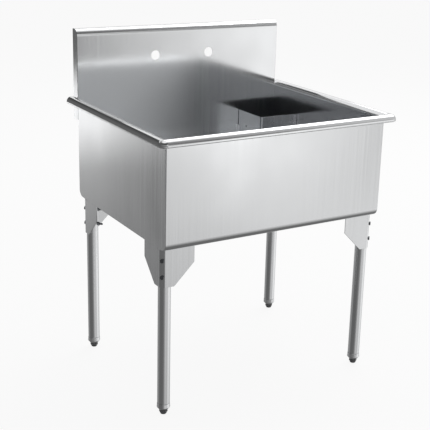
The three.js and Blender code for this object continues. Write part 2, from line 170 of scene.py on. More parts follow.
def steel(name, colour, roughness, anisotropic, spacing, depth, wander=0.05):
    """Steel with a grain. Spacing is how far apart its lines are along X, Y and Z in millimetres, and
    depth how deep they look in micrometres. Real brushing is finer than a millimetre, so every
    spacing here is coarser, as far as it needs to be to show."""
    material, tree = new_material(name)
    coords = add_node(tree, "ShaderNodeTexCoord")
    spread = add_node(tree, "ShaderNodeMapping", Vector=coords.outputs["Object"],
                      Scale=[1000.0 / distance for distance in spacing])
    lines = add_node(tree, "ShaderNodeTexNoise", Vector=spread.outputs["Vector"], Scale=1.0,
                     Detail=3.0, Roughness=0.6)
    # Handling leaves faint patches, about 200 mm wide, where the polish is a little duller.
    patches = add_node(tree, "ShaderNodeTexNoise", Vector=coords.outputs["Object"],
                       Scale=1000.0 / 200.0, Detail=2.0)
    mixed = add_node(tree, "ShaderNodeMath", {"operation": "ADD"}, _0=lines.outputs["Fac"],
                     _1=patches.outputs["Fac"])
    rough = add_node(tree, "ShaderNodeMapRange", Value=mixed.outputs["Value"], From_Min=0.6,
                     From_Max=1.4, To_Min=roughness - wander, To_Max=roughness + wander)
    shade = add_node(tree, "ShaderNodeMapRange", Value=lines.outputs["Fac"], From_Min=0.3,
                     From_Max=0.7, To_Min=0.97, To_Max=1.03)
    tint = add_node(tree, "ShaderNodeVectorMath", {"operation": "SCALE"}, _0=tone(colour)[:3],
                    Scale=shade.outputs["Result"])
    bump = add_node(tree, "ShaderNodeBump", Height=lines.outputs["Fac"], Strength=1.0,
                    Distance=depth * 1e-6)
    shader = add_node(tree, "ShaderNodeBsdfPrincipled", Metallic=1.0, Anisotropic=anisotropic,
                      Base_Color=tint.outputs["Vector"], Roughness=rough.outputs["Result"],
                      Normal=bump.outputs["Normal"])
    add_node(tree, "ShaderNodeOutputMaterial", Surface=shader.outputs["BSDF"])
    return material


def moulding(name, colour, roughness, grit):
    """Moulded plastic or rubber, with a fine grit of that size in millimetres and broad scuffs."""
    material, tree = new_material(name)
    coords = add_node(tree, "ShaderNodeTexCoord")
    speckle = add_node(tree, "ShaderNodeTexNoise", Vector=coords.outputs["Object"],
                       Scale=1000.0 / grit, Detail=2.0)
    scuffs = add_node(tree, "ShaderNodeTexNoise", Vector=coords.outputs["Object"],
                      Scale=1000.0 / 11.1, Detail=4.0)
    rough = add_node(tree, "ShaderNodeMapRange", Value=scuffs.outputs["Fac"], From_Min=0.35,
                     From_Max=0.65, To_Min=roughness - 0.1, To_Max=roughness + 0.1)
    shade = add_node(tree, "ShaderNodeMapRange", Value=scuffs.outputs["Fac"], From_Min=0.35,
                     From_Max=0.65, To_Min=0.85, To_Max=1.15)
    tint = add_node(tree, "ShaderNodeVectorMath", {"operation": "SCALE"}, _0=tone(colour)[:3],
                    Scale=shade.outputs["Result"])
    bump = add_node(tree, "ShaderNodeBump", Height=speckle.outputs["Fac"], Strength=0.4,
                    Distance=0.0002)
    shader = add_node(tree, "ShaderNodeBsdfPrincipled", Base_Color=tint.outputs["Vector"],
                      Roughness=rough.outputs["Result"], Normal=bump.outputs["Normal"])
    add_node(tree, "ShaderNodeOutputMaterial", Surface=shader.outputs["BSDF"])
    return material


# 304 stainless sheet, belt-brushed upright: lines a few tenths of a millimetre apart, drawn about
# 4 mm apart. Reflections smear sideways and stay sharp up and down.
BRUSHED_SHEET = steel("brushed_stainless_sheet", "#EEEFF0", 0.16, 0.8, (4.17, 4.17, 500.0), 3.5)
# The same sheet where it lies flat, brushed along its length.
BRUSHED_FLAT = steel("brushed_stainless_flat", "#E6E7E8", 0.28, 0.6, (333.0, 2.38, 2.38), 20.0)
# The same sheet buffed brighter where it is rolled, so that it mirrors the room in bands.
BUFFED_ROLL = steel("buffed_stainless_roll", "#ECEDEE", 0.09, 0.3, (16.7, 16.7, 16.7), 4.0, 0.02)
# The same sheet with a duller brushed face, inside the end panels; its darker colour is painted shade
# for the shade on those inner walls.
SHADED_END_SHEET = steel("stainless_end_sheet_painted_shade", "#BCBDBF", 0.2, 0.75, (4.17, 4.17, 500.0), 6.0)
# Stainless sheet with a slightly duller brushed face, for the guard; its darker colour is painted
# shade for the shaded corner round the drain.
SHADED_GUARD_SHEET = steel("stainless_guard_sheet_painted_shade", "#D8D9DB", 0.18, 0.75, (4.17, 4.17, 500.0), 6.0)
# The inside of the front wall, left with the dull skin that it has from the mill; its colour, a little
# lighter than the sheet's, is painted light for the light inside the bowl.
MILL_SKIN_PAINTED_LIGHT = steel("mill_finish_stainless_skin_painted_light", "#F2F3F4", 0.85, 0.0, (2.38, 2.38, 400.0), 6.0)
# Welded stainless tube, polished round: a clear upright highlight with faint drawing lines.
POLISHED_TUBE = steel("polished_stainless_tube", "#E9EAEB", 0.16, 0.4, (2.0, 2.0, 250.0), 8.0)
# Zinc-plated steel fittings: dull, slightly blotchy grey.
ZINC_PLATE = steel("zinc_plated_steel", "#B4B6B8", 0.35, 0.0, (3.33, 3.33, 3.33), 30.0, 0.1)
# Steel bolts and nuts as forged and plated: darker, with small sharp highlights.
PLATED_BOLT = steel("plated_bolt_steel", "#808285", 0.28, 0.0, (2.5, 2.5, 2.5), 30.0, 0.08)
# Stamped and polished stainless drain fittings: near mirror.
POLISHED_DRAIN = steel("polished_stainless_drain", "#DADBDC", 0.12, 0.0, (6.67, 6.67, 6.67), 4.0, 0.04)
# Glass-filled nylon feet, moulded: dark grey with a satin skin.
NYLON_FOOT = moulding("moulded_nylon_foot", "#5E5F61", 0.5, 0.6)
# EPDM rubber gasket, moulded: matt black.
RUBBER_GASKET = moulding("moulded_epdm_gasket", "#232324", 0.75, 0.5)

# ---- making pieces ----
FOLD_ANGLE = math.radians(50)  # a sharper turn than this is an edge, not a bend


def finish_piece(bm, name, nodes, body, materials, wall=0.0, edge=0.0, smooth=35.0):
    """Turns a mesh in millimetres into a piece that stands for those solids. Wall is the sheet's
    thickness, behind the faces that were drawn, edge the rounding of its cut edges, and smooth the
    turn in degrees up to which the shading runs on."""
    bmesh.ops.scale(bm, vec=(0.001, 0.001, 0.001), verts=bm.verts)
    mesh = bpy.data.meshes.new(name)
    bm.to_mesh(mesh)
    bm.free()
    for material in materials:
        mesh.materials.append(material)
    mesh.shade_smooth()
    piece = bpy.data.objects.new(name, mesh)
    bpy.context.scene.collection.objects.link(piece)
    if wall:
        sheet = piece.modifiers.new("sheet", "SOLIDIFY")
        sheet.thickness = wall * 0.001
        sheet.offset = -1.0
        sheet.use_even_offset = True
    if edge:
        deburr = piece.modifiers.new("deburr", "BEVEL")
        deburr.width = edge * 0.001
        deburr.segments = 2
        deburr.limit_method = "ANGLE"
        deburr.angle_limit = FOLD_ANGLE
    if wall and not edge:
        creases = piece.modifiers.new("creases", "EDGE_SPLIT")
        creases.use_edge_sharp = True
        creases.split_angle = FOLD_ANGLE
    weight = piece.modifiers.new("flats", "WEIGHTED_NORMAL")
    weight.keep_sharp = True
    mesh.set_sharp_from_angle(angle=math.radians(smooth))
    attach(piece, body)
    if nodes:
        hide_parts(*nodes)
    return piece


def bevel(bm, edges, offset, segments):
    return bmesh.ops.bevel(bm, geom=edges, offset=offset, segments=segments, profile=0.5,
                           affect="EDGES", material=-1, offset_type="OFFSET")


def block(low, high):
    bm = bmesh.new()
    bmesh.ops.create_cube(bm, size=1.0)
    low, high = Vector(low), Vector(high)
    bmesh.ops.scale(bm, vec=high - low, verts=bm.verts)
    bmesh.ops.translate(bm, vec=(low + high) / 2, verts=bm.verts)
    return bm


def edges_where(bm, test):
    """The edges whose two ends pass the test."""
    return [edge for edge in bm.edges if test(*(vert.co for vert in edge.verts))]


def along(axis, a, b):
    """Whether the way from a to b runs along X, Y or Z, given as 0, 1 or 2."""
    return abs((b - a).normalized()[axis]) > 0.999


def only(kind, items):
    return [item for item in items if isinstance(item, kind)]


def everything(bm):
    return bm.verts[:] + bm.edges[:] + bm.faces[:]


def tidy_normals(bm):
    bmesh.ops.remove_doubles(bm, verts=bm.verts, dist=MERGE)
    bmesh.ops.recalc_face_normals(bm, faces=bm.faces)


def with_edges(faces):
    """Those faces with their vertices and edges, as bisect_plane takes them."""
    return [*dict.fromkeys(vert for face in faces for vert in face.verts),
            *dict.fromkeys(edge for face in faces for edge in face.edges), *faces]


def flat_faces(bm, centre, normal):
    """The faces that lie in that plane."""
    return [face for face in bm.faces if abs(face.normal.dot(normal)) > 0.999
            and abs((face.calc_center_median() - centre).dot(normal)) < 0.05]


def punch(bm, centre, across, up, radius, steps):
    """A round hole through the flat sheet at centre, whose plane holds across and up, with that
    many steps to a quarter of the circle."""
    centre = Vector(centre)
    normal = across.cross(up)
    # Four cuts leave a square a little larger than the hole, which is bridged to a circle.
    half_square = radius * 1.3
    for way in (across, up):
        for side in (-1, 1):
            bm.normal_update()
            bmesh.ops.bisect_plane(bm, geom=with_edges(flat_faces(bm, centre, normal)), dist=MERGE,
                                   plane_co=centre + way * side * half_square, plane_no=way)
    bm.normal_update()
    square = min(flat_faces(bm, centre, normal),
                 key=lambda face: (face.calc_center_median() - centre).length)
    border = list(square.edges)
    bmesh.ops.delete(bm, geom=[square], context="FACES_ONLY")
    split = bmesh.ops.subdivide_edges(bm, edges=border, cuts=steps - 1)
    pieces = only(bmesh.types.BMEdge, split["geom_split"])
    ring = list(dict.fromkeys(edge for edge in border + pieces if edge.is_valid))
    place = Matrix((across, up, normal)).transposed().to_4x4()
    place.translation = centre
    circle = bmesh.ops.create_circle(bm, cap_ends=False, radius=radius, segments=4 * steps,
                                     matrix=place)
    circle_edges = list(dict.fromkeys(edge for vert in circle["verts"] for edge in vert.link_edges))
    bmesh.ops.bridge_loops(bm, edges=ring + circle_edges)


def spun(profile, steps, centre=(0, 0)):
    """A turned piece from its [radius, height] profile, standing at centre."""
    bm = bmesh.new()
    verts = [bm.verts.new((radius, 0, height)) for radius, height in profile]
    edges = [bm.edges.new(pair) for pair in zip(verts, verts[1:])]
    bmesh.ops.spin(bm, geom=verts + edges, cent=(0, 0, 0), axis=(0, 0, 1), dvec=(0, 0, 0),
                   angle=math.tau, steps=steps, use_merge=True)
    tidy_normals(bm)
    bmesh.ops.translate(bm, vec=(*centre, 0), verts=bm.verts)
    return bm


def spun_ring(profile, steps, centre):
    """A turned piece with a bore, from its closed profile."""
    return spun(profile + profile[:1], steps, centre)


def joined(*parts):
    """Several closed meshes as one."""
    whole = bmesh.new()
    for part in parts:
        carrier = bpy.data.meshes.new("carrier")
        part.to_mesh(carrier)
        part.free()
        whole.from_mesh(carrier)
        bpy.data.meshes.remove(carrier)
    return whole


def hexagon(across_flats, low, high, chamfer):
    """A hexagonal prism round Z with its two ends chamfered."""
    bm = bmesh.new()
    radius = across_flats / math.sqrt(3)
    bmesh.ops.create_cone(bm, cap_ends=True, segments=6, radius1=radius, radius2=radius,
                          depth=high - low,
                          matrix=Matrix.Translation((0, 0, (low + high) / 2)))
    ends = edges_where(bm, lambda a, b: abs(a.z - b.z) < NEAR)
    bevel(bm, ends, chamfer, 2)
    return bm


def folded(path, radii, low, high, segments):
    """An upright sheet folded along a path seen from above, with the radius of each bend."""
    bm = bmesh.new()
    verts = [bm.verts.new((x, y, low)) for x, y in path]
    edges = [bm.edges.new(pair) for pair in zip(verts, verts[1:])]
    raised = bmesh.ops.extrude_edge_only(bm, edges=edges)["geom"]
    bmesh.ops.translate(bm, vec=(0, 0, high - low), verts=only(bmesh.types.BMVert, raised))
    for (x, y), radius, before, after in zip(path[1:-1], radii, path, path[2:]):
        turn = (Vector((x, y)) - Vector(before)).angle(Vector(after) - Vector((x, y)))
        bend = edges_where(bm, lambda a, b: along(2, a, b) and abs(a.x - x) < NEAR
                           and abs(a.y - y) < NEAR)
        bevel(bm, bend, radius * math.tan(turn / 2), segments)
    bm.normal_update()
    return bm


def point_wall_at(bm, outside):
    """Turns the sheet so that the face it was drawn on looks towards a point outside it."""
    bm.normal_update()
    tally = sum(face.normal.dot(Vector(outside) - face.calc_center_median()) * face.calc_area()
                for face in bm.faces)
    if tally < 0:
        bmesh.ops.reverse_faces(bm, faces=bm.faces)


def point_wall_away(bm, inside):
    """Turns the sheet so that the face it was drawn on looks away from a point inside its fold."""
    tally = sum(face.normal.dot(face.calc_center_median() - inside) for face in bm.faces)
    if tally < 0:
        bmesh.ops.reverse_faces(bm, faces=bm.faces)


# ---- the bowl ----
def bowl():
    """One sheet folded into front, floor and back, with its two ends welded in."""
    bm = block((-HALF_WIDTH, -HALF_DEPTH, FLOOR_UNDERSIDE), (HALF_WIDTH, HALF_DEPTH, ROLL_Z))
    bends = edges_where(bm, lambda a, b: along(0, a, b) and a.z < FLOOR_UNDERSIDE + 1)
    bevel(bm, bends, BOWL_BEND, 16)
    top = [face for face in bm.faces if face.normal.z > 0.99]
    bmesh.ops.delete(bm, geom=top, context="FACES")
    seams = edges_where(bm, lambda a, b: abs(abs(a.x) - HALF_WIDTH) < NEAR and abs(a.x - b.x) < NEAR
                        and not along(1, a, b))
    bevel(bm, seams, BOWL_CORNER, 5)
    punch(bm, (DRAIN_X, DRAIN_Y, FLOOR_UNDERSIDE), X_AXIS, Y_AXIS, DRAIN_HOLE_RADIUS, 12)
    tidy_normals(bm)
    point_wall_at(bm, (0, 0, -FAR))
    front, back, floor, ends = range(4)
    for face in bm.faces:
        outward = face.normal
        if outward.z < -0.9:
            face.material_index = floor
        elif outward.y < -0.5:
            face.material_index = front
        else:
            face.material_index = ends if abs(outward.x) > 0.5 else back
    outside = [BRUSHED_SHEET, BRUSHED_SHEET, BRUSHED_FLAT, BRUSHED_SHEET]
    # The darker colour inside the ends is painted shade.
    # The lighter colour inside the front wall is painted light.
    inside = [MILL_SKIN_PAINTED_LIGHT, BRUSHED_SHEET, BRUSHED_FLAT, SHADED_END_SHEET]
    piece = finish_piece(bm, "bowl", ["tub_wrap", "left_end_panel", "right_end_panel"], "sink",
                         outside + inside, wall=SHEET)
    piece.modifiers["sheet"].material_offset = len(outside)
    return piece


def rim():
    """A bar bent round three sides, its two top edges rounded until they meet, then hollowed."""
    bm = bmesh.new()
    outline = [
        (-INNER_X, RIM_END_Y), (-RIM_OUT_X, RIM_END_Y), (-RIM_OUT_X, -RIM_OUT_Y),
        (RIM_OUT_X, -RIM_OUT_Y), (RIM_OUT_X, RIM_END_Y), (INNER_X, RIM_END_Y),
        (INNER_X, -INNER_Y), (-INNER_X, -INNER_Y),
    ]
    flat = bm.faces.new([bm.verts.new((x, y, ROLL_Z)) for x, y in outline])
    raised = bmesh.ops.extrude_face_region(bm, geom=[flat])["geom"]
    bmesh.ops.translate(bm, vec=(0, 0, ROLL_RADIUS), verts=only(bmesh.types.BMVert, raised))
    bmesh.ops.recalc_face_normals(bm, faces=bm.faces)
    for x, y, radius in ((RIM_OUT_X, RIM_OUT_Y, RIM_CORNER), (INNER_X, INNER_Y, RIM_INNER_CORNER)):
        corners = edges_where(bm, lambda a, b: along(2, a, b) and abs(abs(a.x) - x) < NEAR
                              and abs(a.y + y) < NEAR)
        bevel(bm, corners, radius, 12)
    tops = edges_where(bm, lambda a, b: abs(a.z - RIM_TOP) < NEAR and abs(b.z - RIM_TOP) < NEAR
                       and not (a.y > RIM_END_Y - 1 and b.y > RIM_END_Y - 1))
    # A hair less than the radius keeps the two roundings just apart.
    bevel(bm, tops, ROLL_RADIUS - 0.05, 14)
    bm.normal_update()
    spare = [face for face in bm.faces if face.normal.z < -0.99 or face.normal.y > 0.99]
    bmesh.ops.delete(bm, geom=spare, context="FACES")
    lip = edges_where(bm, lambda a, b: a.z < ROLL_Z + NEAR and b.z < ROLL_Z + NEAR
                      and (max(abs(a.x), abs(b.x)) > INNER_X + 10
                           or min(a.y, b.y) < -INNER_Y - 10))
    # The free edge turns on down, then in under the roll, square to it on the corners' arcs too.
    arc_x, arc_y = RIM_OUT_X - RIM_CORNER, RIM_CORNER - RIM_OUT_Y
    for drop, inward in ROLL_LIP:
        grown = bmesh.ops.extrude_edge_only(bm, edges=lip)["geom"]
        verts = only(bmesh.types.BMVert, grown)
        lip = [edge for edge in only(bmesh.types.BMEdge, grown)
               if all(vert in verts for vert in edge.verts)]
        for vert in verts:
            middle = Vector((max(-arc_x, min(arc_x, vert.co.x)), max(arc_y, vert.co.y), vert.co.z))
            vert.co -= (vert.co - middle).normalized() * inward + Z_AXIS * drop
    # Behind the splash's face, the splash takes the place of the roll's inner edge.
    cut_y = INNER_Y - GAP
    crossing = bmesh.ops.bisect_plane(bm, geom=everything(bm), dist=MERGE,
                                      plane_co=(0, cut_y, 0), plane_no=Y_AXIS)["geom_cut"]
    # The rear part is parted first, so that only its own faces are cleared.
    bmesh.ops.split_edges(bm, edges=only(bmesh.types.BMEdge, crossing))
    for side in (-1, 1):
        behind = [face for face in bm.faces if face.calc_center_median().y > cut_y
                  and face.calc_center_median().x * side > 0]
        bmesh.ops.bisect_plane(bm, geom=with_edges(behind), dist=MERGE,
                               plane_co=(side * (HALF_WIDTH + GAP), 0, 0),
                               plane_no=X_AXIS * side, clear_inner=True)
    bmesh.ops.remove_doubles(bm, verts=bm.verts, dist=NEAR)
    bm.normal_update()
    return finish_piece(bm, "rolled_rim_sheet", ["rolled_rim"], "sink",
                        [BUFFED_ROLL], wall=SHEET, smooth=60.0)


def splash():
    """A box of sheet with a rolled top front edge, open behind and below."""
    bm = block((-HALF_WIDTH, INNER_Y, SPLASH_LOW), (HALF_WIDTH, SPLASH_BACK, SPLASH_TOP))
    nose = edges_where(bm, lambda a, b: along(0, a, b) and a.z > SPLASH_TOP - 1
                       and a.y < INNER_Y + 1)
    bevel(bm, nose, SPLASH_NOSE, 14)
    back = edges_where(bm, lambda a, b: along(0, a, b) and a.z > SPLASH_TOP - 1
                       and a.y > SPLASH_BACK - 1)
    bevel(bm, back, SPLASH_BACK_BEND, 4)
    for height in (ROLL_Z, SPLASH_TOP - SPLASH_TURNDOWN):
        bmesh.ops.bisect_plane(bm, geom=everything(bm), dist=MERGE, plane_co=(0, 0, height),
                               plane_no=Z_AXIS)
    spare = []
    for face in bm.faces:
        middle = face.calc_center_median()
        under = face.normal.z < -0.99
        low_front = face.normal.y < -0.99 and middle.z < ROLL_Z
        open_back = face.normal.y > 0.99 and middle.z < SPLASH_TOP - SPLASH_TURNDOWN
        if under or low_front or open_back:
            spare.append(face)
    bmesh.ops.delete(bm, geom=spare, context="FACES")
    # Below the rim the side returns stand clear of the bowl's back wall.
    low_verts = [vert for vert in bm.verts if vert.co.z < SPLASH_LOW + 1 and vert.co.y < INNER_Y + 1]
    bmesh.ops.translate(bm, vec=(0, SHEET + GAP, 0), verts=low_verts)
    bm.normal_update()
    upright = edges_where(bm, lambda a, b: abs(abs(a.x) - HALF_WIDTH) < NEAR
                          and abs(a.x - b.x) < NEAR and min(a.z, b.z) > ROLL_Z - 1
                          and not along(1, a, b) and max(a.y, b.y) < SPLASH_BACK - 2)
    bevel(bm, [edge for edge in upright if len(edge.link_faces) == 2], SPLASH_SIDE_BEND, 4)
    for side in (-1, 1):
        punch(bm, (side * TAP_HOLE_X, INNER_Y, TAP_HOLE_Z), X_AXIS, Z_AXIS, TAP_HOLE_RADIUS, 12)
    tidy_normals(bm)
    point_wall_at(bm, (0, -FAR, FAR))
    return finish_piece(bm, "splash", ["backsplash"], "sink", [BRUSHED_SHEET],
                        wall=SHEET)


# ---- corners ----
CORNERS = [(end, side) for end in ("front", "back") for side in ("left", "right")]


def signs(end, side):
    return (-1 if side == "left" else 1), (-1 if end == "front" else 1)


def gusset(end, side):
    """Two wings and the flat across the corner between them, folded from one sheet."""
    sx, sy = signs(end, side)
    x, y = sx * HALF_WIDTH, WING_Y[end]
    path = [
        (x, y - sy * GUSSET_WING), (x, y - sy * GUSSET_CHAMFER),
        (x - sx * GUSSET_CHAMFER, y), (x - sx * GUSSET_WING, y),
    ]
    bm = folded(path, (GUSSET_BEND, GUSSET_BEND), GUSSET_LOW, FLOOR_UNDERSIDE, 8)
    tapers = (
        ((x, y - sy * GUSSET_WING, GUSSET_SHOULDER), Vector((0, -sy, -1))),
        ((x - sx * GUSSET_WING, y, GUSSET_SHOULDER), Vector((-sx, 0, -1))),
    )
    for corner, way in tapers:
        bmesh.ops.bisect_plane(bm, geom=everything(bm), dist=MERGE, plane_co=corner,
                               plane_no=way, clear_outer=True)
    point_wall_at(bm, (sx * FAR, sy * FAR, GUSSET_SHOULDER))
    return finish_piece(bm, f"gusset_{end}_{side}_sheet", [f"gusset_{end}_{side}"], "sink",
                        [BRUSHED_SHEET], wall=GUSSET_SHEET, edge=0.4)


def leg(end, side):
    """A welded tube with its lower outer edge broken."""
    bore = LEG_RADIUS - SHEET
    bm = spun_ring([
        (bore, LEG_BOTTOM), (LEG_RADIUS - 0.4, LEG_BOTTOM), (LEG_RADIUS, LEG_BOTTOM + 0.4),
        (LEG_RADIUS, LEG_TOP), (bore, LEG_TOP),
    ], 72, (signs(end, side)[0] * LEG_X, LEG_Y[end]))
    return finish_piece(bm, f"leg_{end}_{side}_tube", [f"leg_{end}_{side}"], "sink",
                        [POLISHED_TUBE])


def socket(end, side):
    """The collar under a leg, polished with it, and its plug inside the tube."""
    bm = spun_ring([
        (5.3, 14.5), (12.0, 14.5), (12.9, 15.1), (19.5, 22.7), (20.2, 23.7), (20.4, 24.9),
        (20.0, 27.0), (19.4, 36.4), (18.8, 37.0), (17.25, 37.0), (17.25, 66), (5.3, 66),
    ], 64, (signs(end, side)[0] * LEG_X, LEG_Y[end]))
    return finish_piece(bm, f"socket_{end}_{side}_plug", [f"socket_{end}_{side}"], "sink",
                        [POLISHED_TUBE])


def screw_foot(end, side):
    """A round foot with flats for a spanner, on a stem that runs up into the socket."""
    base = spun([
        (0, 0), (7.6, 0), (8.6, 0.5), (9.4, 1.6), (10.9, 5.6), (11.2, 6.4), (11.2, 13.6),
        (10.6, 14.2), (6.4, 14.2), (5.0, 14.4), (5.0, 60), (4, 61), (0, 61),
    ], 56)
    bm = joined(base, hexagon(across_flats=22.0, low=6.2, high=12.6, chamfer=0.7))
    bmesh.ops.translate(bm, vec=(signs(end, side)[0] * LEG_X, LEG_Y[end], 0), verts=bm.verts)
    return finish_piece(bm, f"foot_{end}_{side}_screw", [f"foot_{end}_{side}"],
                        f"screw_foot_{end}_{side}", [NYLON_FOOT])


def across_corner(bm, end, side, height):
    """Turns a piece made along +Z to point out through the corner at a bolt's height."""
    sx, sy = signs(end, side)
    out = Vector((sx, sy, 0)).normalized()
    place = Matrix((Z_AXIS.cross(out), Z_AXIS, out)).transposed().to_4x4()
    place.translation = Vector((sx * LEG_X, LEG_Y[end], height))
    bmesh.ops.transform(bm, matrix=place, verts=bm.verts)
    return bm


def bolt(end, side, level):
    """A hex bolt through the gusset's flat and the leg, its thread cut as round grooves."""
    seat = FLAT_REACH + GAP
    tip = -(LEG_RADIUS + GAP + NUT_HEIGHT + BOLT_TAIL)
    head = hexagon(HEX_ACROSS_FLATS, seat, seat + BOLT_HEAD, HEX_CHAMFER)
    shank = [(0, tip), (2.4, tip), (2.7, tip + 0.4)]
    for turn in range(THREAD_TURNS):
        crest = tip + 0.6 + turn * THREAD_PITCH
        shank += [(BOLT_RADIUS, crest), (BOLT_RADIUS, crest + THREAD_CREST),
                  (THREAD_ROOT, crest + THREAD_FALL)]
    inside_head = seat + 0.5
    shank += [(BOLT_RADIUS, tip + THREAD_LENGTH), (BOLT_RADIUS, inside_head), (0, inside_head)]
    bm = across_corner(joined(head, spun(shank, 24)), end, side, BOLT_HEIGHTS[level])
    return finish_piece(bm, f"bolt_{end}_{side}_{level}_hex", [f"bolt_{end}_{side}_{level}"],
                        "sink", [PLATED_BOLT])


def nut(end, side, level):
    """A hex nut against the inner side of the leg, with its bore open."""
    seat = LEG_RADIUS + GAP
    bm = hexagon(HEX_ACROSS_FLATS, -seat - NUT_HEIGHT, -seat, HEX_CHAMFER)
    caps = [face for face in bm.faces if abs(face.normal.z) > 0.99]
    bmesh.ops.inset_region(bm, faces=caps, thickness=NUT_FACE, depth=0.0)
    rings = [list(face.edges) for face in caps]
    bmesh.ops.delete(bm, geom=caps, context="FACES_ONLY")
    bmesh.ops.bridge_loops(bm, edges=rings[0] + rings[1])
    bmesh.ops.recalc_face_normals(bm, faces=bm.faces)
    across_corner(bm, end, side, BOLT_HEIGHTS[level])
    return finish_piece(bm, f"nut_{end}_{side}_{level}_hex", [f"nut_{end}_{side}_{level}"],
                        "sink", [PLATED_BOLT])


# ---- the guard round the drain ----
def guard():
    """An L of sheet with a row of drain holes, notched over the bend at the bowl's back."""
    edge_y = HALF_DEPTH - SHEET - GAP - CHANNEL_SHEET - GUARD_PLAY
    edge_x = HALF_WIDTH - SHEET - GAP - CHANNEL_SHEET - GUARD_PLAY
    bm = folded([(GUARD_X, edge_y), (GUARD_X, GUARD_Y), (edge_x, GUARD_Y)], (GUARD_BEND,),
                GUARD_LOW, GUARD_TOP, 10)
    height = GUARD_LOW + GUARD_HOLE_RISE
    for offset in GUARD_HOLE_OFFSETS:
        punch(bm, (GUARD_X, GUARD_Y + offset, height), Y_AXIS, Z_AXIS, GUARD_HOLE_RADIUS, 5)
        punch(bm, (GUARD_X + offset, GUARD_Y, height), X_AXIS, Z_AXIS, GUARD_HOLE_RADIUS, 5)
    side_panel = [face for face in bm.faces if abs(face.normal.x) > 0.99]
    bmesh.ops.bisect_plane(bm, geom=with_edges(side_panel), dist=MERGE,
                           plane_co=(GUARD_X, edge_y - BOWL_BEND, GUARD_LOW),
                           plane_no=(0, 1, -1), clear_outer=True)
    tidy_normals(bm)
    point_wall_at(bm, (-FAR, -FAR, (GUARD_LOW + GUARD_TOP) / 2))
    # The guard's darker sheet colour is painted shade.
    return finish_piece(bm, "guard_sheet", ["corner_guard"], "drain_guard",
                        [SHADED_GUARD_SHEET], wall=SHEET, edge=0.35)


def guard_rivets():
    """Domed rivet heads, two on the guard's front panel and one on its side panel."""
    profile = [(0, -0.2), (3.5, -0.2), (3.5, 0.5), (3.2, 1.0), (2.4, 1.5), (1.2, 1.75), (0, 1.8)]
    facing_front = Matrix.Rotation(math.pi / 2, 3, "X")
    facing_left = Matrix.Rotation(-math.pi / 2, 3, "Y")
    places = [(facing_front, (x, GUARD_Y, RIVET_HEIGHT)) for x in RIVETS_FRONT]
    places.append((facing_left, (GUARD_X, *RIVET_SIDE)))
    heads = []
    for turn, place in places:
        head = spun(profile, 24)
        bmesh.ops.rotate(head, cent=(0, 0, 0), matrix=turn, verts=head.verts)
        bmesh.ops.translate(head, vec=place, verts=head.verts)
        heads.append(head)
    return finish_piece(joined(*heads), "guard_rivet_heads", [], "drain_guard",
                        [ZINC_PLATE])


def channel(name, place, top):
    """A U of thin sheet that holds an edge of the guard. Place takes a point of the U, measured
    across the guard's sheet and out from the bowl's wall, to its place seen from above."""
    low, high = -CHANNEL_ROOM, SHEET + CHANNEL_ROOM
    path = [place(*corner) for corner in
            ((low, CHANNEL_LIP), (low, 0), (high, 0), (high, CHANNEL_LIP))]
    bm = folded(path, (CHANNEL_BEND, CHANNEL_BEND), CHANNEL_LOW, top, 4)
    point_wall_away(bm, Vector((*place(SHEET / 2, CHANNEL_LIP / 2), (CHANNEL_LOW + top) / 2)))
    return finish_piece(bm, f"{name}_sheet", [name], "sink", [BRUSHED_SHEET],
                        wall=CHANNEL_SHEET)


# ---- the drain ----
def drain_pieces():
    """The turned drain body, its gasket and the tailpiece, each from its profile."""
    at = (DRAIN_X, DRAIN_Y)
    body = spun_ring([
        (57, 532.8), (57, 533.3), (56.3, 534.1), (55, 534.4), (44.2, 534.2), (43, 533.6),
        (41.2, 530.8), (40.4, 529.9), (37.6, 528.9), (36.5, 527.6), (36.2, 526), (35.6, 503),
        (34.4, 501.2), (20.6, 497.4), (20, 496.4), (20, 470), (24, 470), (24, 493.5),
        (40, 499.5), (43.4, 504), (43.4, 532.8),
    ], 80, at)
    finish_piece(body, "drain_body_turned", ["drain_body"], "sink", [POLISHED_DRAIN])
    gasket = spun_ring([(44.2, 527.7), (52.6, 527.7), (53, 528.1), (53, 530.3), (52.6, 530.7),
                        (44.2, 530.7)], 72, at)
    finish_piece(gasket, "drain_gasket_ring", ["drain_gasket"], "sink",
                 [RUBBER_GASKET])
    pipe = spun_ring([
        (17.75, 375), (18.8, 375), (19.05, 375.3), (19.05, 466), (20, 466.4), (23, 466.5),
        (23, 469.7), (17.75, 469.7),
    ], 64, at)
    finish_piece(pipe, "tailpiece_tube", ["drain_tailpiece"], "sink",
                 [POLISHED_DRAIN])


def show_solids():
    """Fittings whose solids are already their full shape get their metal only."""
    finishes = {"drain_locknut": ZINC_PLATE, "coupling_nut": ZINC_PLATE,
                "strainer_basket": POLISHED_DRAIN}
    for name, material in finishes.items():
        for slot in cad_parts[name].material_slots:
            slot.material = material


bowl()
rim()
splash()
for end, side in CORNERS:
    gusset(end, side)
    leg(end, side)
    socket(end, side)
    screw_foot(end, side)
    for level in BOLT_HEIGHTS:
        bolt(end, side, level)
        nut(end, side, level)
guard()
guard_rivets()
channel("guard_channel_back", lambda across, out: (GUARD_X + across, INNER_Y - GAP - out),
        CHANNEL_TOP["back"])
channel("guard_channel_side", lambda across, out: (INNER_X - GAP - out, GUARD_Y + across),
        CHANNEL_TOP["side"])
drain_pieces()
show_solids()


# ---- camera ----
def photo_camera():
    """The camera that was fitted to the sink's edges in the photograph."""
    data = bpy.data.cameras.new("camera")
    data.sensor_width = 36.0
    data.lens = 81.65
    data.shift_x = -0.0392
    data.shift_y = -0.0570
    data.clip_end = 200.0
    camera = bpy.data.objects.new("camera", data)
    camera.location = (-1.5705, -2.5952, 1.4956)
    camera.rotation_euler = [math.radians(v) for v in (73.229, -1.565, -31.077)]
    bpy.context.scene.collection.objects.link(camera)
    bpy.context.scene.camera = camera


photo_camera()

# ---- studio ----
scene = bpy.context.scene
scene.view_settings.view_transform = "Standard"


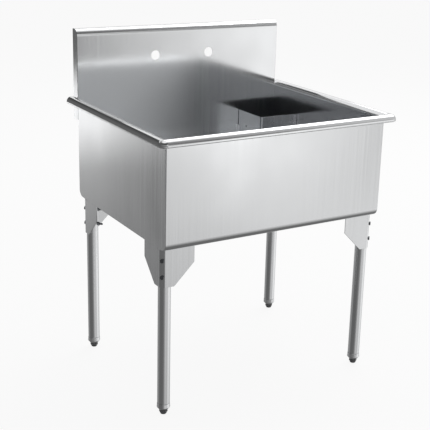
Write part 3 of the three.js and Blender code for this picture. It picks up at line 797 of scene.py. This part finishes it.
# What the metal sees around it, as [degrees above the horizon, [[degrees from +X, brightness], ...]].
SURROUNDINGS = [
    # The floor under the sink and close round it, in the shadow of the sink and the lamp stands.
    (-52, [(-180, 0.15), (-110, 0.15), (-60, 0.14), (0, 0.15), (180, 0.15)]),
    (-20, [(-180, 0.13), (-140, 0.13), (-120, 0.2), (-106, 0.4), (-90, 0.72), (-61, 0.58),
           (-40, 0.95), (-20, 1.1), (5, 0.8), (60, 0.5), (98, 0.55), (112, 0.28), (118, 0.13),
           (128, 0.38), (145, 0.3), (160, 0.14), (180, 0.13)]),
    (-15.5, [(-180, 0.17), (-110, 0.3), (-68, 0.4), (-64, 0.65), (-58, 1.15), (-49, 0.55),
             (-12, 0.7), (60, 0.5), (98, 0.65), (112, 0.66), (117, 0.1), (135, 0.17), (160, 0.28),
             (180, 0.17)]),
    # The floor farther off: a lamp's pool of light at the front right, daylight at the back left.
    (-13, [(-180, 0.14), (-110, 0.25), (-68, 0.25), (-64, 0.8), (-58, 1.45), (-49, 0.5), (-12, 0.6),
           (60, 0.6), (98, 1.6), (112, 1.75), (117, 0.1), (135, 0.15), (160, 0.25), (180, 0.14)]),
    (-11, [(-180, 0.1), (-110, 0.25), (-68, 0.18), (-64, 0.4), (-58, 1.4), (-49, 0.5), (-12, 0.6),
           (63, 0.85), (95, 2.0), (112, 1.9), (116.5, 0.12), (125, 0.1), (180, 0.1)]),
    # The lit lower part of the walls, with the unlit back left corner.
    (-9.5, [(-180, 0.1), (-110, 0.2), (-68, 0.2), (-58, 1.25), (-49, 0.65), (-12, 0.6), (63, 0.6),
            (80, 0.5), (92, 0.15), (180, 0.1)]),
    (-5, [(-180, 0.1), (-110, 0.2), (-70, 0.25), (-58, 1.1), (-12, 0.6), (63, 0.55), (80, 0.5),
          (92, 0.15), (180, 0.1)]),
    (1, [(-180, 0.1), (-110, 0.2), (-80, 0.4), (-66, 0.9), (-60, 0.9), (-46, 0.95), (-12, 0.6),
         (63, 0.6), (80, 0.4), (92, 0.15), (118, 0.12), (128, 0.12), (180, 0.1)]),
    (7, [(-180, 0.1), (-95, 0.25), (-80, 0.4), (-67, 0.5), (-60, 0.12), (-53, 0.35), (-46, 0.6),
         (-12, 0.6), (40, 0.6), (66, 0.85), (78, 0.4), (90, 0.12), (118, 0.13), (180, 0.1)]),
    (22, [(-180, 0.1), (-85, 0.4), (-70, 1.2), (-60, 0.12), (-53, 0.35), (-46, 0.6), (-10, 0.6),
          (25, 0.4), (56, 0.85), (68, 1.2), (77, 0.6), (86, 0.1), (94, 0.04), (104, 0.08),
          (118, 0.1), (180, 0.1)]),
    (31, [(-180, 0.1), (-80, 0.1), (-68, 0.05), (-60, 0.12), (-53, 0.35), (-46, 0.6), (-10, 0.6),
          (25, 0.4), (56, 0.85), (70, 1.1), (78, 0.5), (86, 0.1), (104, 0.06), (180, 0.1)]),
    # The upper part of the walls, dark but for the back right, then the white ceiling.
    (37, [(-180, 0.1), (-68, 0.05), (-58, 0.15), (-46, 0.5), (-10, 0.6), (30, 1.2), (60, 1.0),
          (120, 0.95), (150, 0.15), (180, 0.1)]),
    (57, [(-180, 0.1), (-68, 0.05), (-50, 0.12), (-38, 0.3), (-20, 1.1), (30, 1.3), (60, 0.9),
          (100, 0.3), (180, 0.1)]),
    (72, [(-180, 1.0), (180, 1.0)]),
]


def studio_world():
    """White to the camera and an even light on the object; metal shows the studio's surroundings."""
    world = bpy.data.worlds.new("studio")
    scene.world = world
    world.use_nodes = True
    tree = world.node_tree
    tree.nodes.clear()
    way = add_node(tree, "ShaderNodeTexCoord").outputs["Generated"]
    parts = add_node(tree, "ShaderNodeSeparateXYZ", Vector=way)
    angle = add_node(tree, "ShaderNodeMath", {"operation": "ARCTAN2"}, _0=parts.outputs["Y"],
                     _1=parts.outputs["X"])
    turn = add_node(tree, "ShaderNodeMapRange", Value=angle.outputs["Value"], From_Min=-math.pi,
                    From_Max=math.pi)
    shown = below = None
    for height, stops in SURROUNDINGS:
        ramp = add_node(tree, "ShaderNodeValToRGB", _0=turn.outputs["Result"])
        marks = ramp.color_ramp.elements
        for degrees, brightness in stops[1:-1]:
            marks.new((degrees + 180) / 360).color = (brightness, brightness, brightness, 1.0)
        for mark, (degrees, brightness) in zip((marks[0], marks[-1]), (stops[0], stops[-1])):
            mark.color = (brightness, brightness, brightness, 1.0)
        if shown is None:
            shown = ramp.outputs["Color"]
        else:
            share = add_node(tree, "ShaderNodeMapRange", Value=parts.outputs["Z"],
                             From_Min=math.sin(math.radians(below)),
                             From_Max=math.sin(math.radians(height)))
            shown = add_node(tree, "ShaderNodeMix", {"data_type": "RGBA"}, _0=share.outputs["Result"],
                             _6=shown, _7=ramp.outputs["Color"]).outputs[2]
        below = height
    shades = add_node(tree, "ShaderNodeBackground", Color=shown, Strength=1.0)
    even = add_node(tree, "ShaderNodeBackground", Color=tone("#FFFFFF"), Strength=0.5)
    white = add_node(tree, "ShaderNodeBackground", Color=tone("#FFFFFF"), Strength=1.0)
    path = add_node(tree, "ShaderNodeLightPath")
    metal = add_node(tree, "ShaderNodeMixShader", _0=path.outputs["Is Glossy Ray"],
                     _1=even.outputs["Background"], _2=shades.outputs["Background"])
    direct = add_node(tree, "ShaderNodeMath", {"operation": "MAXIMUM"},
                      _0=path.outputs["Is Camera Ray"], _1=path.outputs["Is Transmission Ray"])
    both = add_node(tree, "ShaderNodeMixShader", _0=direct.outputs["Value"],
                    _1=metal.outputs["Shader"], _2=white.outputs["Background"])
    add_node(tree, "ShaderNodeOutputWorld", Surface=both.outputs["Shader"])


def stage_sheet(name, width, depth, place, metal_only):
    """A flat sheet of the studio, in metres, which only mirror-like rays see if it is metal_only."""
    bm = bmesh.new()
    bmesh.ops.create_grid(bm, x_segments=1, y_segments=1, size=0.5)
    bmesh.ops.scale(bm, vec=(width, depth, 1), verts=bm.verts)
    bmesh.ops.transform(bm, matrix=place, verts=bm.verts)
    mesh = bpy.data.meshes.new(name)
    bm.to_mesh(mesh)
    bm.free()
    sheet = bpy.data.objects.new(name, mesh)
    scene.collection.objects.link(sheet)
    if metal_only:
        sheet.visible_camera = False
        sheet.visible_diffuse = False
        sheet.visible_shadow = False
    return sheet


def pale_floor():
    """A floor that is nearly white by its own colour and takes the sink's shadow."""
    floor = stage_sheet("floor", 60, 60, Matrix.Translation((0, 0, 0)), metal_only=False)
    floor.visible_glossy = False
    material, tree = new_material("pale_floor")
    path = add_node(tree, "ShaderNodeLightPath")
    matt = add_node(tree, "ShaderNodeBsdfDiffuse", Color=tone("#F4F4F4"))
    white = add_node(tree, "ShaderNodeEmission", Color=tone("#FFFFFF"), Strength=1.0)
    # Most of what the camera sees is plain white, and the rest shows the shadow.
    share = add_node(tree, "ShaderNodeMath", {"operation": "MULTIPLY"},
                     _0=path.outputs["Is Camera Ray"], _1=0.9)
    mix = add_node(tree, "ShaderNodeMixShader", _0=share.outputs["Value"], _1=matt.outputs["BSDF"],
                   _2=white.outputs["Emission"])
    add_node(tree, "ShaderNodeOutputMaterial", Surface=mix.outputs["Shader"])
    floor.data.materials.append(material)


def bright_card():
    """A lit card behind the splash, which the inner side of the right roll mirrors."""
    upright = Matrix.Translation((0.05, 0.7, 1.35)) @ Matrix.Rotation(math.pi / 2, 4, "X")
    card = stage_sheet("bright_card", 0.85, 0.75, upright, metal_only=True)
    material, tree = new_material("bright_card")
    glow = add_node(tree, "ShaderNodeEmission", Color=tone("#FFFFFF"), Strength=0.85)
    add_node(tree, "ShaderNodeOutputMaterial", Surface=glow.outputs["Emission"])
    card.data.materials.append(material)


def soft_box(name, place, aim, width, depth, radiance):
    """A soft box; radiance 1 shows white in a mirror."""
    data = bpy.data.lights.new(name, "AREA")
    data.shape = "RECTANGLE"
    data.size = width
    data.size_y = depth
    data.energy = radiance * math.pi * width * depth
    lamp = bpy.data.objects.new(name, data)
    way = Vector(aim) - Vector(place)
    lamp.matrix_world = Matrix.LocRotScale(Vector(place), way.to_track_quat("-Z", "Y"), None)
    scene.collection.objects.link(lamp)


studio_world()
pale_floor()
# Light crosses the polished bowl many times before it leaves.
scene.cycles.glossy_bounces = 12
bright_card()
soft_box("overhead_box", place=(2.6, 1.4, 3.6), aim=(0.6, 0.3, 0.0), width=3.6, depth=3.2,
         radiance=2.0)
